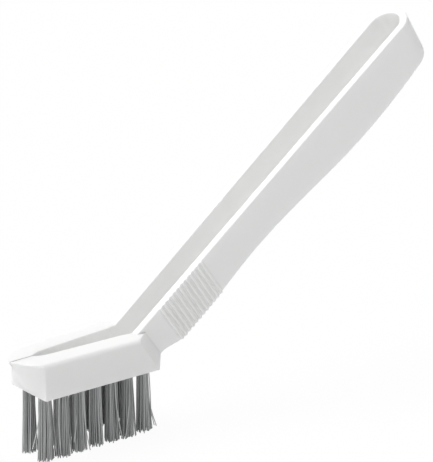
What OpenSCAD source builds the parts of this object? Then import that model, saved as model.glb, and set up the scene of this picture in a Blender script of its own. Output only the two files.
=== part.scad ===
// Crevice brush: a flat hairpin handle and its brush head in one moulding,
// with two rows of filament tufts that flat wire anchors hold in blind holes.
// The origin lies under the middle of the whole brush, on the plane of the filament tips.
// +X runs from the beak to the handle, +Z is up, and the two sides mirror in Y.

/* [Head] */
// Length of the head's underside, from the toe to the heel
head_l = 49.5; // [44:0.5:70]
// Height of the head
head_h = 13.8; // [12:0.1:20]
// Width of the head at the toe
toe_w = 21.4; // [19:0.2:30]
// Width of the head at the heel
heel_w = 27.2; // [24:0.2:36]
// Radius of the head's upper outer edges
edge_r = 1.8; // [0.6:0.1:3]

/* [Beak] */
// How far the beak runs out past the toe
beak_l = 8; // [3:0.5:14]
// Bulge of each side of the beak, seen from above
beak_bulge = 1.2; // [0.3:0.1:2.2]
// Height of the upright toe face below the beak
toe_face = 1.1; // [0.4:0.1:3]

/* [Slot in the head] */
// Thickness of the base under the slot, which holds the tufts
base_t = 7; // [6.2:0.1:9]
// Distance from the toe to the pointed front of the slot
slot_front = 1.4; // [0.5:0.1:4]
// Length of the slot's pointed front
slot_nose = 6.5; // [4:0.5:10]
// Width of the slot behind its pointed front
slot_w = 4.6; // [4.2:0.1:6]
// Width of the slot at the neck
slot_neck_w = 8.8; // [7:0.1:10]
// Width of the fine slit from the slot to the tip of the beak
slit_w = 0.45; // [0.3:0.05:0.8]
// Depth of the fine slit
slit_d = 1.6; // [0.8:0.1:3]

/* [Handle] */
// Angle of the handle above the head
handle_angle = 36; // [25:1:50]
// Distance from the toe to the bend on the head's upper face
bend_x = 43.1; // [40:0.5:60]
// Length from the bend to the centre of the round end
handle_l = 166.3; // [130:1:200]
// Width over both limbs at the neck
neck_w = 16.2; // [14.5:0.1:20]
// Width over both limbs at the round end
loop_w = 19.9; // [17:0.1:26]
// Thickness of the limbs
limb_t = 3.1; // [2:0.1:4]
// Half the length of the shoulders between the head and the limbs
shoulder = 3.1; // [1.5:0.1:4]

/* [Handle depth] */
// Depth of the limbs at the hump behind the neck
hump_d = 18.3; // [16:0.1:24]
// Depth of the limbs at the waist
waist_d = 17.1; // [14:0.1:22]
// Depth of the limbs at the belly
belly_d = 22; // [18:0.1:28]
// Depth of the limbs at the round end
end_d = 18.7; // [14:0.1:26]
// Distance from the bend to the start of the hump's flat stretch
hump_u = 15; // [12:0.5:20]
// Length of the hump's flat stretch
hump_l = 14; // [6:0.5:18]
// Distance from the bend to the waist
waist_u = 59; // [50:1:70]
// Distance from the bend to the belly
belly_u = 132; // [90:1:150]
// Radius of the round end's lower corner
end_r = 4; // [1:0.5:7]

/* [Grip ribs] */
// Number of ribs on each limb
ribs = 12; // [4:1:14]
// Distance between neighbouring ribs
rib_pitch = 2.15; // [1.8:0.05:2.4]
// Distance from the bend to the first rib
rib_u = 13.6; // [11:0.1:16]
// Radius of a rib's round back
rib_r = 0.7; // [0.4:0.05:0.85]
// How far a rib stands out of the limb
rib_h = 0.5; // [0.2:0.05:0.6]

/* [Tufts] */
// Tufts in each of the two rows
tufts = 7; // [4:1:7]
// Diameter of the tuft holes
hole_d = 4.6; // [3.4:0.1:4.8]
// Depth of the tuft holes
hole_depth = 5.4; // [4.8:0.1:5.6]
// Distance from the toe to the first tuft
first_tuft = 3.4; // [3.2:0.1:6]
// Distance from the last tuft to the heel
last_tuft = 3.7; // [3.5:0.1:8]
// Distance from the tufts to the side of the head
tuft_edge = 5.9; // [3.4:0.1:6.4]
// Free length of the filaments
bristle_l = 25.5; // [15:0.5:40]
// Filaments in each tuft
strands = 30; // [12:1:32]
// Thickness of a filament
strand_t = 0.44; // [0.3:0.02:0.46]
// How much wider a tuft is at its tips than at its root, along the row
spread_x = 1.5; // [1:0.05:1.6]
// How much wider a tuft is at its tips than at its root, across the row
spread_y = 1.75; // [1:0.05:1.8]

/* [Anchors] */
// Length of the flat wire anchors, across the hole and into its wall
anchor_l = 5.3; // [5:0.1:5.8]
// Height of the anchors
anchor_h = 1.8; // [1:0.1:2.2]
// Thickness of the anchors
anchor_t = 0.5; // [0.3:0.05:0.7]
// Filament folded over an anchor, above it
fold_t = 0.9; // [0.5:0.1:1.2]

/* [Fits] */
// Clearance around the tufts and the anchors
fit = 0.05; // [0.03:0.01:0.1]

/* [Hidden] */

ca = cos(handle_angle);
sa = sin(handle_angle);
loop_end = handle_l + loop_w / 2;
// The handle's furthest point, measured from the toe, which with the beak centres the brush
far_x = bend_x + (loop_end - end_r) * ca + (end_d - end_r) * sa + end_r;
toe_x = (beak_l - far_x) / 2;
heel_x = toe_x + head_l;
under_z = bristle_l;
top_z = under_z + head_h;
bend_at = [toe_x + bend_x, top_z];
side_slope = (heel_w - toe_w) / 2 / head_l;
// The heel's lower corner, measured along and across the handle from the bend
heel_u = (heel_x - bend_at[0]) * ca - head_h * sa;
heel_v = (heel_x - bend_at[0]) * sa + head_h * ca;
limb_slope = (loop_w - neck_w) / 2 / handle_l;
rib_sink = rib_r - rib_h;
tuft_pitch = (head_l - first_tuft - last_tuft) / (tufts - 1);
big = 400;
// Steps along each side of the beak, and rows up its twisted sides
beak_steps = 8;
beak_rows = 6;
// How far the straight limbs end inside the round end, so that they run into it
seat = 0.02;

// Half the head's width at a distance behind the toe
function head_half(x) = toe_w / 2 + side_slope * x;

// Half the width over the limbs at a distance along the handle
function limb_half(u) = neck_w / 2 + limb_slope * u;

// A smooth step from a to b while t goes from 0 to 1
function ease(a, b, t) = a + (b - a) * (1 - cos(180 * min(1, max(0, t)))) / 2;

// Depth of the limbs at a distance along the handle
function depth(u) =
    u < heel_u + 2 * shoulder ? heel_v :
    u < hump_u ? ease(heel_v, hump_d, (u - heel_u - 2 * shoulder) / (hump_u - heel_u - 2 * shoulder)) :
    u < hump_u + hump_l ? hump_d :
    u < waist_u ? ease(hump_d, waist_d, (u - hump_u - hump_l) / (waist_u - hump_u - hump_l)) :
    u < belly_u ? ease(waist_d, belly_d, (u - waist_u) / (belly_u - waist_u)) :
    belly_d - (belly_d - end_d) * pow((u - belly_u) / (loop_end - belly_u), 2);

// Stations along the handle, close where its lower edge bends most
stations = concat(
    [for (i = [0:6]) heel_u + 2 * shoulder + i * (hump_u - heel_u - 2 * shoulder) / 6],
    [for (i = [0:7]) hump_u + hump_l + i * (waist_u - hump_u - hump_l) / 7],
    [for (i = [1:12]) waist_u + i * (belly_u - waist_u) / 12],
    [for (i = [1:8]) belly_u + i * (loop_end - belly_u) / 8]
);

// Place of tuft i in its row, as x and y; side is -1 on the near row and 1 on the far row
function tuft_x(i) = toe_x + first_tuft + (i - 1) * tuft_pitch;
function tuft_at(side, i) = [tuft_x(i), side * (head_half(tuft_x(i) - toe_x) - tuft_edge)];

// One side of the beak from the toe's corner to the tip: a flat arc through three points
beak_chord = norm([beak_l, toe_w / 2]);
beak_arc_r = (pow(beak_chord / 2, 2) + pow(beak_bulge, 2)) / (2 * beak_bulge);
beak_arc_a = 2 * asin(beak_chord / 2 / beak_arc_r);
beak_lean = atan2(toe_w / 2, beak_l);
function beak_point(t) =
    let (
        a = beak_arc_a * (t - 0.5),
        along = beak_arc_r * sin(a) + beak_chord / 2,
        out = beak_arc_r * cos(a) - beak_arc_r + beak_bulge
    )
    [-along * cos(beak_lean) - out * sin(beak_lean),
     toe_w / 2 - along * sin(beak_lean) + out * cos(beak_lean)];

// Level section of the head: f is 0 at the straight toe and 1 at the full beak
function head_ring(f, inset, back) =
    let (
        k = 1 - inset * 2 / toe_w,
        side = concat(
            [[toe_x + back, head_half(back) - inset]],
            [for (i = [0:beak_steps])
                let (
                    t = i / beak_steps,
                    p = beak_point(t),
                    straight = toe_w / 2 * (1 - t)
                )
                [toe_x + f * p[0], (straight + f * (p[1] - straight)) * k]]
        )
    )
    concat(side, [for (i = [len(side) - 2:-1:0]) [side[i][0], -side[i][1]]]);

// Closes a stack of level rings into one solid, its faces facing out
module skin(rings, heights) {
    n = len(rings[0]);
    last = (len(rings) - 1) * n;
    polyhedron(
        points = [for (j = [0:len(rings) - 1]) for (p = rings[j]) [p[0], p[1], heights[j]]],
        faces = concat(
            [[for (i = [0:n - 1]) i]],
            [[for (i = [n - 1:-1:0]) last + i]],
            [for (j = [0:len(rings) - 2]) for (i = [0:n - 1])
                [j * n + i, (j + 1) * n + i, (j + 1) * n + (i + 1) % n]],
            [for (j = [0:len(rings) - 2]) for (i = [0:n - 1])
                [j * n + i, (j + 1) * n + (i + 1) % n, j * n + (i + 1) % n]]
        )
    );
}

// The solid head: the beak twists from the straight toe up to its point along a straight keel,
// and the upper edges are round
module head_block(back) {
    rise = head_h - toe_face;
    twist = [for (i = [1:beak_rows]) i / beak_rows * (rise - edge_r)];
    round_over = [for (a = [30, 60, 90]) a];
    skin(
        concat(
            [head_ring(0, 0, back), head_ring(0, 0, back)],
            [for (h = twist) head_ring(h / rise, 0, back)],
            [for (a = round_over)
                head_ring(1 - edge_r * (1 - sin(a)) / rise, edge_r * (1 - cos(a)), back)]
        ),
        concat(
            [under_z, under_z + toe_face],
            [for (h = twist) under_z + toe_face + h],
            [for (a = round_over) top_z - edge_r * (1 - sin(a))]
        )
    );
}

// Turns a shape drawn as (u along the handle, v across it) into the upright X-Z plane
module stand_up(width) {
    translate([bend_at[0], width / 2, bend_at[1]])
        rotate([90, 0, 0])
            linear_extrude(width)
                rotate(handle_angle)
                    mirror([0, 1])
                        children();
}

// Sweeps a shape drawn as (u along the handle, y) through the handle's depth
module sweep_across(from_v, to_v) {
    translate([bend_at[0], 0, bend_at[1]])
        rotate([0, -handle_angle, 0])
            translate([0, 0, -to_v])
                linear_extrude(to_v - from_v)
                    children();
}

// Side view of the limbs
module limb_profile() {
    end_v = depth(loop_end);
    difference() {
        polygon(concat(
            [[-shoulder / 2, 0], [-shoulder / 2, heel_v]],
            [for (u = stations) [u, depth(u)]],
            [[loop_end, 0]]
        ));
        difference() {
            translate([loop_end - end_r, end_v - end_r])
                square(end_r + 1);
            translate([loop_end - end_r, end_v - end_r])
                circle(end_r, $fn = 48);
        }
    }
}

// The hairpin seen along its depth, with its width drawn in by an inset
module hairpin(inset, from_u) {
    r = loop_w / 2 - inset;
    polygon([
        [from_u, limb_half(from_u) - inset],
        [handle_l, r - seat],
        [handle_l, seat - r],
        [from_u, inset - limb_half(from_u)]
    ]);
    translate([handle_l, 0])
        circle(r, $fn = 96);
}

// Round-backed ribs on the outer face of each limb, running through the handle's depth
module rib_backs() {
    sweep_across(-1, belly_d + hump_d)
        for (side = [-1, 1], i = [0:ribs - 1])
            let (u = rib_u + i * rib_pitch)
                translate([u, side * (limb_half(u) - rib_sink)])
                    circle(rib_r, $fn = 24);
}

// The two limbs and their round end, still solid between them
module handle_block() {
    intersection() {
        stand_up(loop_w + 10)
            limb_profile();
        union() {
            sweep_across(-1, belly_d + hump_d)
                hairpin(0, -shoulder);
            rib_backs();
        }
    }
}

// The head, cut off square to the handle and drawn in by shoulders to the width of the limbs
module head_and_shoulders() {
    reach = 2 * shoulder / (heel_w / 2 - limb_half(shoulder));
    inner = limb_half(shoulder) - limb_t / 2;
    outer = heel_w;
    intersection() {
        head_block(head_l + head_h);
        sweep_across(-big / 2, heel_v)
            polygon([
                [-big, outer],
                [shoulder - (outer - limb_half(shoulder)) * reach, outer],
                [shoulder + limb_t / 2 * reach, inner],
                [shoulder + limb_t / 2 * reach, -inner],
                [shoulder - (outer - limb_half(shoulder)) * reach, -outer],
                [-big, -outer]
            ]);
    }
}

// The slot in the head, seen from above, with a pointed front and flared at the neck
module head_slot_plan() {
    front = toe_x + slot_front;
    nose = front + slot_nose;
    flare = bend_at[0] - shoulder;
    wide = limb_half(0) - limb_t;
    half = slot_w / 2;
    curve = [for (t = [0:1/6:1]) [front + slot_nose * t, half * sin(90 * t)]];
    side = concat(curve, [[flare - shoulder / 2, slot_neck_w / 2], [flare + shoulder / 2, wide], [heel_x, wide]]);
    polygon(concat(side, [for (i = [len(side) - 1:-1:1]) [side[i][0], -side[i][1]]]));
}

// Everything open between the limbs and between the bars of the head
module slot_space() {
    difference() {
        union() {
            translate([0, 0, under_z])
                linear_extrude(head_h + 1)
                    head_slot_plan();
            sweep_across(-1, belly_d + 1)
                hairpin(limb_t, -shoulder);
        }
        translate([toe_x - 1, -heel_w, under_z - 1])
            cube([head_l + 1, 2 * heel_w, base_t + 1]);
    }
}

// The fine slit where the two bars meet, open at the tip of the beak
module slit() {
    translate([toe_x - beak_l - 1, -slit_w / 2, top_z - slit_d])
        cube([beak_l + 1 + slot_front + slot_nose / 2, slit_w, slit_d + 1]);
}

// One blind hole with the nicks that its anchor bites into its wall
module tuft_hole(side, i) {
    translate(concat(tuft_at(side, i), [under_z])) {
        translate([0, 0, -1])
            cylinder(h = hole_depth + 1, d = hole_d, $fn = 48);
        translate([0, 0, hole_depth - fold_t - anchor_h / 2])
            cube([anchor_l + 2 * fit, anchor_t + 2 * fit, anchor_h + 2 * fit], center = true);
    }
}

// Head, shoulders, limbs and round end are one moulding
module body() {
    color("whitesmoke")
        difference() {
            union() {
                head_and_shoulders();
                handle_block();
            }
            slot_space();
            slit();
            for (side = [-1, 1])
                for (i = [1:tufts])
                    tuft_hole(side, i);
        }
}

// Place of filament k in its tuft, on a spiral that spaces all of them evenly
function strand_at(k) =
    let (r = (hole_d / 2 - fit - strand_t * 0.7) * sqrt((k + 0.5) / strands))
    [r * cos(137.508 * k), r * sin(137.508 * k)];

// One filament from its root to a tip that leans outward, as a three-sided rod
module strand(k) {
    root = strand_at(k);
    tip = [root[0] * spread_x, root[1] * spread_y];
    drop = bristle_l + 0.5;
    lean = tip - root;
    length = norm([lean[0], lean[1], drop]);
    translate([root[0], root[1], 0])
        rotate([0, 180 - atan2(norm(lean), drop), atan2(lean[1], lean[0])])
            translate([0, 0, -0.6])
                linear_extrude(length + 0.6)
                    circle(strand_t * 0.58, $fn = 3);
}

// A tuft: its packed root in the hole, folded over the anchor, and its free filaments
module tuft(side, i) {
    color("dimgray")
        intersection() {
            translate(concat(tuft_at(side, i), [under_z])) {
                difference() {
                    cylinder(h = hole_depth - fit, d = hole_d - 2 * fit, $fn = 48);
                    translate([0, 0, hole_depth - fold_t - anchor_h / 2])
                        cube([anchor_l, anchor_t + 2 * fit, anchor_h + 2 * fit], center = true);
                }
                for (k = [0:strands - 1])
                    strand(k);
            }
            translate([-big / 2, -big / 2, 0])
                cube(big);
        }
}

// A row of flat wire anchors, one across each hole
module anchors(side) {
    color("goldenrod")
        for (i = [1:tufts])
            translate(concat(tuft_at(side, i), [under_z + hole_depth - fold_t - anchor_h / 2]))
                cube([anchor_l, anchor_t, anchor_h], center = true);
}

body();
for (i = [1:tufts]) {
    tuft(-1, i);
    tuft(1, i);
}
anchors(-1);  // near_anchors
anchors(1);  // far_anchors
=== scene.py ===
import math
import random

import bmesh
import bpy
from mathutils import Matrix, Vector


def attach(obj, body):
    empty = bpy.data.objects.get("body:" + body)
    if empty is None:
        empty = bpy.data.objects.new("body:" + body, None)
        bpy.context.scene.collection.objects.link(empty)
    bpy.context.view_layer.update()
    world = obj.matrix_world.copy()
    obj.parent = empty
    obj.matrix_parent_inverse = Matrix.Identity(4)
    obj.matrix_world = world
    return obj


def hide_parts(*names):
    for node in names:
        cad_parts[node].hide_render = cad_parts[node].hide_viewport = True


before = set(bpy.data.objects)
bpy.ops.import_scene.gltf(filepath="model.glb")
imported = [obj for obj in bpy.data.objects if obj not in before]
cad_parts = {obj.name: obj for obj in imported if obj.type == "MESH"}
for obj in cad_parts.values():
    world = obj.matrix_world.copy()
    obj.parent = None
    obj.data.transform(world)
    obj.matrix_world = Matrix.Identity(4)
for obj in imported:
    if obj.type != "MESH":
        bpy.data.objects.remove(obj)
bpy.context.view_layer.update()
bpy.ops.object.select_all(action="DESELECT")

# The view.
# The photograph looks down the brush from its beak end, a little from above and the left,
# with the handle running away to the upper right. The camera is set up on the middle of the
# toe's lower edge. Its place and lens were fitted to the edges of the head and the handle.
under_z = 0.0255
toe = Vector((-0.0935468, 0, under_z))
turn = math.radians(40.44)
tilt = math.radians(17.30)
distance, offset_right, offset_up = 0.5962, 0.06126, 0.06015
picture_w, picture_h = 433, 462
focal_px = 1669.5
axis_px = (200.35, 224.59)
ahead = Vector((math.sin(turn) * math.cos(tilt), math.cos(turn) * math.cos(tilt), -math.sin(tilt)))
right = Vector((math.cos(turn), -math.sin(turn), 0))
up = right.cross(ahead)
lens_data = bpy.data.cameras.new("camera")
camera = bpy.data.objects.new("camera", lens_data)
bpy.context.scene.collection.objects.link(camera)
bpy.context.scene.camera = camera
camera.location = toe - distance * ahead + offset_right * right + offset_up * up
camera.rotation_euler = ahead.to_track_quat("-Z", "Y").to_euler()
lens_data.sensor_width = 36
lens_data.sensor_fit = "HORIZONTAL"
lens_data.lens = focal_px / picture_w * lens_data.sensor_width
lens_data.shift_x = (picture_w / 2 - axis_px[0]) / picture_w
lens_data.shift_y = (axis_px[1] - picture_h / 2) / picture_w
lens_data.clip_start = 0.01

# The moulding.
# Head, beak, shoulders, both limbs and the round end are one white polypropylene moulding.
# Its main outer edges are broken by about a third of a millimetre, as the mould leaves them,
# and the skin is a fine satin.


def colour(hex_code):
    """An sRGB hex colour as linear red, green, blue and alpha."""
    parts = [int(hex_code[i:i + 2], 16) / 255 for i in (0, 2, 4)]
    return [c / 12.92 if c <= 0.04045 else ((c + 0.055) / 1.055) ** 2.4 for c in parts] + [1]


def add(tree, kind, links=(), **settings):
    """Adds a node, sets its sockets or properties by name, and links (socket, output) pairs."""
    node = tree.nodes.new(kind)
    for name, value in settings.items():
        socket = node.inputs.get(name.replace("_", " "))
        if socket is not None:
            socket.default_value = value
        else:
            setattr(node, name, value)
    for name, output in links:
        tree.links.new(output, node.inputs[name])
    return node


def new_material(name):
    """A named material with an empty node tree and its output."""
    material = bpy.data.materials.new(name)
    material.use_nodes = True
    material.node_tree.nodes.clear()
    return material, material.node_tree


def select_only(piece):
    """Makes one object the only selected and the active one."""
    bpy.ops.object.select_all(action="DESELECT")
    piece.select_set(True)
    bpy.context.view_layer.objects.active = piece


# Moulded polypropylene is white, lets a little light through thin walls, and has soft highlights
polypropylene, tree = new_material("moulded_polypropylene")
where = add(tree, "ShaderNodeTexCoord")
flow = add(tree, "ShaderNodeTexNoise", [("Vector", where.outputs["Object"])],
           Scale=45.0, Detail=3.0, Roughness=0.55)
# Faint flow marks from the melt, about 20 mm across
shade = add(tree, "ShaderNodeValToRGB", [("Fac", flow.outputs["Fac"])])
shade.color_ramp.elements[0].position = 0.3
shade.color_ramp.elements[0].color = colour("f7f7f6")
shade.color_ramp.elements[1].position = 0.7
shade.color_ramp.elements[1].color = colour("fafaf9")
# Painted shade: the colour drops in corners within 1.1 mm, so the grooves between the ribs read
# darker than light alone makes them
corners = add(tree, "ShaderNodeAmbientOcclusion", samples=8, Distance=0.0011)
painted_corner_shade = add(tree, "ShaderNodeMapRange", [("Value", corners.outputs["AO"])],
                  From_Min=0.2, To_Min=0.62, To_Max=1.0)
colour_with_painted_shade = add(tree, "ShaderNodeVectorMath", [("Vector", shade.outputs["Color"]),
                                          ("Scale", painted_corner_shade.outputs["Result"])],
           operation="SCALE")
# The spark-eroded grain of the mould, 0.25 mm
grain = add(tree, "ShaderNodeTexNoise", [("Vector", where.outputs["Object"])],
            Scale=4000.0, Detail=2.0, Roughness=0.6)
# Long waves left by the mould's polish, about 6 mm
wave = add(tree, "ShaderNodeTexNoise", [("Vector", where.outputs["Object"])],
           Scale=160.0, Detail=1.0)
rough = add(tree, "ShaderNodeMapRange", [("Value", wave.outputs["Fac"])],
            To_Min=0.36, To_Max=0.46)
bump = add(tree, "ShaderNodeBump", [("Height", grain.outputs["Fac"])],
           Strength=0.12, Distance=0.00002)
skin = add(tree, "ShaderNodeBsdfPrincipled",
           [("Base Color", colour_with_painted_shade.outputs["Vector"]), ("Roughness", rough.outputs["Result"]),
            ("Normal", bump.outputs["Normal"])],
           IOR=1.49, Subsurface_Weight=0.6, Subsurface_Scale=0.0022, Subsurface_Radius=(1, 1, 1))
add(tree, "ShaderNodeOutputMaterial", [("Surface", skin.outputs["BSDF"])])

moulding = bpy.data.objects.new("moulding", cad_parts["body"].data.copy())
bpy.context.scene.collection.objects.link(moulding)
select_only(moulding)
bpy.ops.mesh.customdata_custom_splitnormals_clear()
bpy.ops.object.mode_set(mode="EDIT")
bpy.ops.mesh.select_all(action="SELECT")
bpy.ops.mesh.remove_doubles(threshold=0.000002)
bpy.ops.mesh.select_all(action="DESELECT")
bpy.ops.object.mode_set(mode="OBJECT")

top_z = 0.0393
hole_top = under_z + 0.0055
hole_field = (-0.0445, 0.0117)  # The holes lie forward of this x and within this y
rim_segment, rim_y = 0.0008, 0.0102
slit_half_w, slit_end_x = 0.0003, -0.088
beak_x, beak_y = toe.x + 0.0004, 0.0106
bend_x = -0.0504468
handle_angle = math.radians(36)
ribs_from, ribs_to, ribs_y = 0.0125, 0.0385, 0.0078
sharp_angle = math.radians(28)
level_gap = 0.00001


def is_broken(edge):
    """Only sharp outer edges are broken, and none on the ribs, holes, slit or beak."""
    middle = (edge.verts[0].co + edge.verts[1].co) / 2
    up_limb = ((middle.x - bend_x) * math.cos(handle_angle)
               + (middle.z - top_z) * math.sin(handle_angle))
    in_hole = (under_z + level_gap < middle.z < hole_top and middle.x < hole_field[0]
               and all(abs(v.co.y) < hole_field[1] for v in edge.verts))
    on_rim = (abs(middle.z - under_z) < level_gap and edge.calc_length() < rim_segment
              and abs(middle.y) < rim_y)
    in_slit = abs(middle.y) < slit_half_w and middle.x < slit_end_x
    on_rib = ribs_from < up_limb < ribs_to and abs(middle.y) > ribs_y
    on_beak = middle.x < beak_x and abs(middle.y) < beak_y
    kept_sharp = in_hole or on_rim or in_slit or on_rib or on_beak
    return edge.is_convex and edge.calc_face_angle(0) >= sharp_angle and not kept_sharp


shell = bmesh.new()
shell.from_mesh(moulding.data)
weight = shell.edges.layers.float.new("bevel_weight_edge")
for edge in shell.edges:
    if len(edge.link_faces) == 2 and is_broken(edge):
        edge[weight] = 1.0
shell.to_mesh(moulding.data)
shell.free()

broken = moulding.modifiers.new("broken edges", "BEVEL")
broken.limit_method = "WEIGHT"
broken.width = 0.00036
broken.segments = 3
broken.use_clamp_overlap = False
select_only(moulding)
bpy.ops.object.modifier_apply(modifier=broken.name)
bpy.ops.object.shade_smooth_by_angle(angle=math.radians(30))
level_faces = moulding.modifiers.new("level faces", "WEIGHTED_NORMAL")
level_faces.weight = 100
level_faces.keep_sharp = True
bpy.ops.object.modifier_apply(modifier=level_faces.name)
moulding.data.materials.clear()
moulding.data.materials.append(polypropylene)
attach(moulding, "root")
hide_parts("body")

# The filament tufts.
# Each tuft is 37 round grey polyester filaments, folded in half to 74 ends and driven into
# its hole with a wire anchor. They leave the hole packed, fan out and are trimmed level, with
# small differences and a few strays that have taken a set in use.

polyester, tree = new_material("drawn_polyester_filament")
# Each filament has its own tone, and the colour darkens towards the root as painted shade,
# where the filaments lie packed under the head
tone = add(tree, "ShaderNodeAttribute", attribute_name="filament_tone")
place = add(tree, "ShaderNodeTexCoord")
height = add(tree, "ShaderNodeSeparateXYZ", [("Vector", place.outputs["Object"])])
painted_root_shade = add(tree, "ShaderNodeMapRange", [("Value", height.outputs["Z"])],
             From_Min=0.0, From_Max=0.0255, To_Min=1.06, To_Max=0.86)
streak = add(tree, "ShaderNodeTexNoise", [("Vector", place.outputs["Object"])],
             Scale=900.0, Detail=2.0)
streaks = add(tree, "ShaderNodeMapRange", [("Value", streak.outputs["Fac"])],
              To_Min=0.9, To_Max=1.1)
level = add(tree, "ShaderNodeMath", operation="MULTIPLY")
tree.links.new(tone.outputs["Fac"], level.inputs[0])
tree.links.new(painted_root_shade.outputs["Result"], level.inputs[1])
level_2 = add(tree, "ShaderNodeMath", operation="MULTIPLY")
tree.links.new(level.outputs[0], level_2.inputs[0])
tree.links.new(streaks.outputs["Result"], level_2.inputs[1])
grey = add(tree, "ShaderNodeValToRGB", [("Fac", level_2.outputs[0])])
grey.color_ramp.elements[0].position = 0.0
grey.color_ramp.elements[0].color = colour("5a5c5c")
grey.color_ramp.elements[1].position = 1.0
grey.color_ramp.elements[1].color = colour("e4e6e6")
strand_skin = add(tree, "ShaderNodeBsdfPrincipled", [("Base Color", grey.outputs["Color"])],
                  Roughness=0.36, IOR=1.57)
add(tree, "ShaderNodeOutputMaterial", [("Surface", strand_skin.outputs["BSDF"])])

# One filament: a slim five-sided rod, cut across by edit-mode subdivision so that it can bend
bpy.ops.object.select_all(action="DESELECT")
bpy.ops.mesh.primitive_cylinder_add(vertices=5, radius=1, depth=1, location=(0, 0, 0))
filament = bpy.context.active_object
bpy.ops.object.mode_set(mode="EDIT")
bpy.ops.mesh.select_all(action="DESELECT")
bpy.ops.object.mode_set(mode="OBJECT")
for edge in filament.data.edges:
    a, b = (filament.data.vertices[i].co for i in edge.vertices)
    edge.select = abs(a.z - b.z) > 0.5
bpy.ops.object.mode_set(mode="EDIT")
bpy.ops.mesh.subdivide(number_cuts=5)
bpy.ops.object.mode_set(mode="OBJECT")
rod_points = [v.co.copy() for v in filament.data.vertices]
rod_faces = [list(p.vertices) for p in filament.data.polygons]
bpy.data.objects.remove(filament)

chance = random.Random(11)
hole_r = 0.00222
strand_r = 0.00019
ends = 74
root_depth = 0.0045  # The filaments start this deep in the hole
stray_depth = 0.002
golden_angle = 137.508
hole_inset = 0.0059  # From the head's side to the middle of a hole
tufts = 7
first_hole = 0.0034  # From the toe
row_length = 0.0424
tuft_x = [toe.x + first_hole + i * row_length / (tufts - 1) for i in range(tufts)]


def head_half(x):
    """Half the head's width at x: 10.7 mm at the toe, 2.9 mm more at the heel."""
    return 0.0107 + 0.0029 * (x - toe.x) / 0.0495


def lay_filament(points, faces, tones, root, tip, bow, tone_value, top):
    """Adds one filament that leaves the hole upright at its root and bows over to its tip."""
    first = len(points)
    for p in rod_points:
        s = 0.5 - p.z
        z = top + (tip.z - top) * s
        lean = s ** 1.7
        x = root.x + (tip.x - root.x) * lean + bow.x * math.sin(math.pi * s) + p.x * strand_r
        y = root.y + (tip.y - root.y) * lean + bow.y * math.sin(math.pi * s) + p.y * strand_r
        points.append((x, y, z))
        tones.append(tone_value)
    faces.extend([[first + i for i in f] for f in rod_faces])


# Strays, in millimetres from the tuft's middle: root, tip, free length, bulge, and tone
strays = {
    ("near", 1): (((-1.9, 0.6), (-2.2, 5.6), 22.4, (0.2, -0.3), 1.0),
                  ((1.9, -0.6), (3.6, -1.2), 24.6, (0.5, 0.0), 0.75)),
    ("near", 2): (((-1.6, -1.2), (-2.4, -2.0), 23.8, (-1.0, -0.4), 0.9),
                  ((1.8, -0.8), (2.9, -1.8), 24.9, (-0.8, 0.3), 0.85)),
    ("near", 3): (((-1.9, -0.6), (-3.4, -1.2), 21.0, (0.9, -0.2), 0.95),
                  ((0.9, -1.9), (2.6, -3.0), 25.2, (-0.5, 0.2), 0.8)),
    ("near", 5): (((0.4, -2.1), (2.9, -2.9), 24.8, (-0.7, -0.3), 0.8),),
    ("near", 6): (((-0.6, -2.0), (-3.0, -2.6), 25.1, (0.6, 0.0), 0.78),),
    ("near", 7): (((2.0, -0.5), (5.0, -1.8), 24.3, (-0.9, 0.2), 0.7),
                  ((1.8, -1.0), (4.2, -1.6), 23.9, (-0.6, 0.3), 0.85),
                  ((2.0, 0.3), (3.7, -0.4), 24.8, (-0.4, 0.1), 0.6),
                  ((-2.2, -0.4), (-3.3, -0.9), 2.6, (0.1, 0.0), 0.35)),
    ("far", 1): (((-2.0, 0.2), (-3.0, 0.8), 24.9, (0.3, 0.0), 0.95),),
    ("far", 4): (((-1.2, 1.7), (-2.5, 3.9), 24.4, (0.3, -0.5), 0.8),),
    ("far", 7): (((1.9, 0.9), (4.1, 2.2), 24.2, (-0.6, 0.2), 0.8),),
}

for row, side in (("near", -1), ("far", 1)):
    for i in range(tufts):
        centre = Vector((tuft_x[i], side * (head_half(tuft_x[i]) - hole_inset), under_z))
        points, faces, tones = [], [], []
        sway = Vector((chance.uniform(-0.0005, 0.0006), chance.uniform(-0.0004, 0.0004), 0))
        fan = chance.uniform(1.42, 1.72)
        for k in range(ends):
            r = (hole_r - strand_r) * math.sqrt((k + 0.5) / ends)
            a = math.radians(golden_angle * k)
            root = centre + Vector((r * math.cos(a), r * math.sin(a), 0))
            spread_x = fan + chance.uniform(-0.2, 0.2)
            spread_y = 1.3 + chance.uniform(-0.2, 0.2)
            fan_out = Vector((r * math.cos(a) * spread_x, r * math.sin(a) * spread_y, 0))
            tip = centre + fan_out + sway
            tip += Vector((chance.gauss(0, 0.00022), chance.gauss(0, 0.00022), 0))
            tip.z = 0.0001 + abs(chance.gauss(0, 0.00035))
            bow = Vector((chance.gauss(0, 0.00018), chance.gauss(0, 0.00018), 0))
            lay_filament(points, faces, tones, root, tip, bow,
                         min(1, max(0, chance.gauss(0.52, 0.18))), under_z + root_depth)
        for place, out, drop, bulge, shine in strays.get((row, i + 1), ()):
            root = centre + Vector((place[0], place[1], 0)) / 1000
            tip = centre + Vector((out[0], out[1], 0)) / 1000
            tip.z = under_z - drop / 1000
            bow = Vector((bulge[0], bulge[1], 0)) / 1000
            lay_filament(points, faces, tones, root, tip, bow, shine, under_z + stray_depth)
        mesh = bpy.data.meshes.new(f"{row}_tuft_filaments_{i + 1}")
        mesh.from_pydata(points, [], faces)
        mesh.attributes.new("filament_tone", "FLOAT", "POINT").data.foreach_set("value", tones)
        mesh.materials.append(polyester)
        tuft = bpy.data.objects.new(mesh.name, mesh)
        bpy.context.scene.collection.objects.link(tuft)
        select_only(tuft)
        bpy.ops.object.shade_smooth_by_angle(angle=math.radians(80))
        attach(tuft, "root")
        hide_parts(f"{row}_tuft_{i + 1}")

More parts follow.
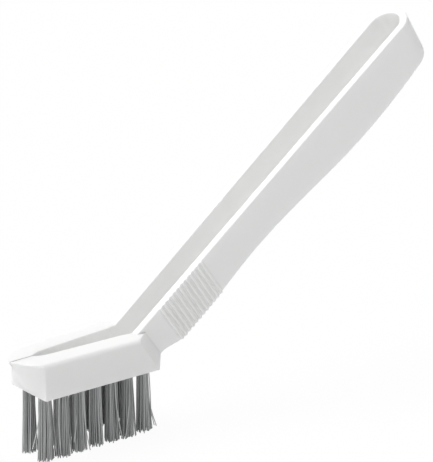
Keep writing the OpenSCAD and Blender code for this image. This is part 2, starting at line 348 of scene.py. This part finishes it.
# The anchors.
# Flat brass wire, cut off the coil and driven across each hole over the folded filament.
# They lie hidden in the head, one to a tuft.

brass, tree = new_material("drawn_brass_wire")
spot = add(tree, "ShaderNodeTexCoord")
# Fine die lines, drawn out along the wire
drawn = add(tree, "ShaderNodeMapping", [("Vector", spot.outputs["Object"])],
            Scale=(60, 4000, 4000))
lines = add(tree, "ShaderNodeTexNoise", [("Vector", drawn.outputs["Vector"])],
            Scale=1.0, Detail=2.0)
dull = add(tree, "ShaderNodeMapRange", [("Value", lines.outputs["Fac"])],
           To_Min=0.28, To_Max=0.42)
wire_skin = add(tree, "ShaderNodeBsdfPrincipled", [("Roughness", dull.outputs["Result"])],
                Base_Color=colour("c9a45c"), Metallic=1.0)
add(tree, "ShaderNodeOutputMaterial", [("Surface", wire_skin.outputs["BSDF"])])
for name in ("near_anchors", "far_anchors"):
    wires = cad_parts[name]
    wires.data.materials.clear()
    wires.data.materials.append(brass)

# The white table and the light.
# The brush stands on its tips on a white table, under a wide soft light from the upper left
# and a weak one from the far left, in a white room.

bpy.ops.object.select_all(action="DESELECT")
bpy.ops.mesh.primitive_plane_add(size=6, location=(0, 0, 0))
table = bpy.context.active_object
table.name = "table"
paper, tree = new_material("white_paper")
matt = add(tree, "ShaderNodeBsdfDiffuse", Color=colour("f7f7f7"))
glow = add(tree, "ShaderNodeEmission", Color=(1, 1, 1, 1), Strength=1.0)
ray = add(tree, "ShaderNodeLightPath")
seen = add(tree, "ShaderNodeMath", operation="MAXIMUM")
tree.links.new(ray.outputs["Is Camera Ray"], seen.inputs[0])
tree.links.new(ray.outputs["Is Glossy Ray"], seen.inputs[1])
# Seen by the camera or mirrored, the table is nearly pure white and still takes a shadow
share = add(tree, "ShaderNodeMath", operation="MULTIPLY")
tree.links.new(seen.outputs[0], share.inputs[0])
share.inputs[1].default_value = 0.95
mix = add(tree, "ShaderNodeMixShader", [("Fac", share.outputs[0])])
tree.links.new(matt.outputs[0], mix.inputs[1])
tree.links.new(glow.outputs[0], mix.inputs[2])
# From below the table is left open, so that the tufts can be looked at
clear = add(tree, "ShaderNodeBsdfTransparent")
face = add(tree, "ShaderNodeNewGeometry")
both = add(tree, "ShaderNodeMixShader", [("Fac", face.outputs["Backfacing"])])
tree.links.new(mix.outputs[0], both.inputs[1])
tree.links.new(clear.outputs[0], both.inputs[2])
add(tree, "ShaderNodeOutputMaterial", [("Surface", both.outputs[0])])
table.data.materials.append(paper)

for name, energy, spread, towards in (
    ("high window", 1.80, 36, (0.24, -0.31, -0.92)),
    ("low window", 0.36, 24, (0.50, -0.86, -0.02)),
):
    lamp_data = bpy.data.lights.new(name, "SUN")
    lamp_data.energy = energy
    lamp_data.angle = math.radians(spread)
    lamp = bpy.data.objects.new(name, lamp_data)
    lamp.rotation_euler = Vector(towards).to_track_quat("-Z", "Y").to_euler()
    bpy.context.scene.collection.objects.link(lamp)

world = bpy.data.worlds.new("room")
bpy.context.scene.world = world
world.use_nodes = True
tree = world.node_tree
tree.nodes.clear()
ray = add(tree, "ShaderNodeLightPath")
seen = add(tree, "ShaderNodeMath", operation="MAXIMUM")
tree.links.new(ray.outputs["Is Camera Ray"], seen.inputs[0])
tree.links.new(ray.outputs["Is Transmission Ray"], seen.inputs[1])
seen_2 = add(tree, "ShaderNodeMath", operation="MAXIMUM")
tree.links.new(seen.outputs[0], seen_2.inputs[0])
tree.links.new(ray.outputs["Is Glossy Ray"], seen_2.inputs[1])
# The room is lighter on the windows' side
toward = add(tree, "ShaderNodeTexCoord")
across = add(tree, "ShaderNodeSeparateXYZ", [("Vector", toward.outputs["Generated"])])
room_light = add(tree, "ShaderNodeMapRange", [("Value", across.outputs["X"])],
                 From_Min=-1.0, From_Max=1.0, To_Min=0.63, To_Max=0.34)
strength = add(tree, "ShaderNodeMapRange",
               [("Value", seen_2.outputs[0]), ("To Min", room_light.outputs["Result"])],
               To_Max=1.0)
sky = add(tree, "ShaderNodeBackground", [("Strength", strength.outputs["Result"])],
          Color=(1, 1, 1, 1))
add(tree, "ShaderNodeOutputWorld", [("Surface", sky.outputs["Background"])])

bpy.context.scene.view_settings.view_transform = "Standard"
